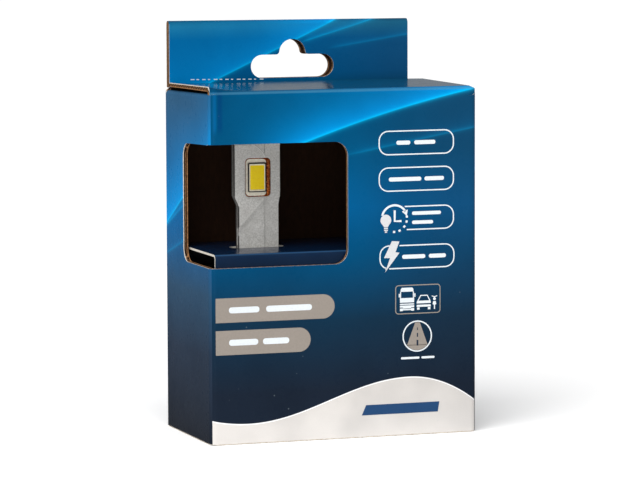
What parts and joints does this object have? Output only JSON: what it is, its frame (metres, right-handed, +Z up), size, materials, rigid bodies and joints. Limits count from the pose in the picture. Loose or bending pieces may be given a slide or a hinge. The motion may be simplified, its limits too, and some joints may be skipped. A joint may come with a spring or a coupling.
{
  "type": "led headlight bulb in carton",
  "caption": "LED headlight bulb with a flat two-sided light blade, locating collar, fan-cooled base and bayonet connector, standing in a card insert in its windowed hanging carton.",
  "frame": {"origin": "centre of the carton's bottom face", "axes": "+Z up, the carton's printed front faces -Y, +X to the right seen from the front"},
  "size_m": [0.08, 0.043, 0.1176],
  "materials": {
    "printed_board": "glossy blue print on brown fine-flute board",
    "insert_card": "glossy navy print on white-cored card",
    "cast_aluminium": "sand-blasted silver",
    "sink_aluminium": "satin anodised",
    "collar_metal": "turned satin",
    "can_aluminium": "satin",
    "bare_copper": "bare copper",
    "led_ceramic": "matt cream",
    "phosphor": "matt yellow",
    "screw_steel": "zinc plated",
    "black_plastic": "fine matt texture",
    "gasket_rubber": "matt",
    "contact_brass": "bright",
    "driver_laminate": "green solder mask",
    "ferrite": "dark matt",
    "wire_sleeve": "red sleeve"
  },
  "bodies": {
    "carton": {"carton_body": "printed_board", "bottom_flap_left": "printed_board", "bottom_flap_right": "printed_board"},
    "top_panel": {"top_panel": "printed_board"},
    "dust_flap_left": {"dust_flap_left": "printed_board"},
    "dust_flap_right": {"dust_flap_right": "printed_board"},
    "hang_tab": {"hang_tab": "printed_board"},
    "bulb": {"blade_front_half": "cast_aluminium", "blade_rear_half": "cast_aluminium", "copper_core": "bare_copper", "led_board_front": "led_ceramic", "led_board_rear": "led_ceramic", "led_frame_front": "led_ceramic", "led_frame_rear": "led_ceramic", "led_phosphor_front": "phosphor", "led_phosphor_rear": "phosphor", "blade_screw_front": "screw_steel", "blade_screw_rear": "screw_steel", "heat_sink": "sink_aluminium", "fan_frame": "black_plastic", "fan_bearing": "contact_brass", "fan_stator": "bare_copper", "base_housing": "black_plastic", "driver_board": "driver_laminate", "driver_inductor": "ferrite", "driver_capacitor": "can_aluminium", "driver_transistor": "black_plastic", "driver_rectifier": "black_plastic", "led_wire_positive": "wire_sleeve", "led_wire_negative": "wire_sleeve", "connector_shroud": "black_plastic", "connector_insulator": "led_ceramic", "side_contact_ring": "contact_brass", "centre_contact_pin": "contact_brass", "housing_screw_1": "screw_steel", "housing_screw_2": "screw_steel", "housing_screw_3": "screw_steel", "shroud_screw_1": "screw_steel", "shroud_screw_2": "screw_steel"},
    "collar": {"mounting_collar": "collar_metal", "collar_grub_screw": "screw_steel", "collar_gasket": "gasket_rubber"},
    "rotor": {"fan_rotor": "black_plastic", "fan_magnet": "ferrite", "fan_shaft": "screw_steel"},
    "insert": {"card_insert": "insert_card"}
  },
  "joints": [
    {"name": "bulb_lift", "type": "slide", "parent": "carton", "child": "bulb", "axis": [0, 0, 1], "range_m": [0, 0.1]},
    {"name": "top_panel_hinge", "type": "hinge", "parent": "carton", "child": "top_panel", "pos_m": [0, -0.0208, 0.0987], "axis": [1, 0, 0], "range_deg": [0, 178]},
    {"name": "dust_flap_left_hinge", "type": "hinge", "parent": "carton", "child": "dust_flap_left", "pos_m": [-0.0393, 0, 0.097], "axis": [0, -1, 0], "range_deg": [0, 178]},
    {"name": "dust_flap_right_hinge", "type": "hinge", "parent": "carton", "child": "dust_flap_right", "pos_m": [0.0393, 0, 0.097], "axis": [0, 1, 0], "range_deg": [0, 178]},
    {"name": "hang_tab_fold", "type": "hinge", "parent": "carton", "child": "hang_tab", "pos_m": [0, 0.0215, 0.09955], "axis": [-1, 0, 0], "range_deg": [0, 90]},
    {"name": "insert_pull_off", "type": "slide", "parent": "bulb", "child": "insert", "axis": [0, 0, 1], "range_m": [0, 0.04]},
    {"name": "collar_turn", "type": "hinge", "parent": "bulb", "child": "collar", "pos_m": [-0.0195, -0.0006, 0.0454], "axis": [0, 0, 1], "range_deg": [-30, 30]},
    {"name": "fan_spin", "type": "hinge", "parent": "bulb", "child": "rotor", "pos_m": [-0.0195, -0.0006, 0.031], "axis": [0, 0, 1], "continuous": true}
  ],
  "couplings": [
    {"joint": "top_panel_hinge", "follows": "bulb_lift", "rad_per_m": 31},
    {"joint": "dust_flap_left_hinge", "follows": "bulb_lift", "rad_per_m": 31},
    {"joint": "dust_flap_right_hinge", "follows": "bulb_lift", "rad_per_m": 31}
  ]
}
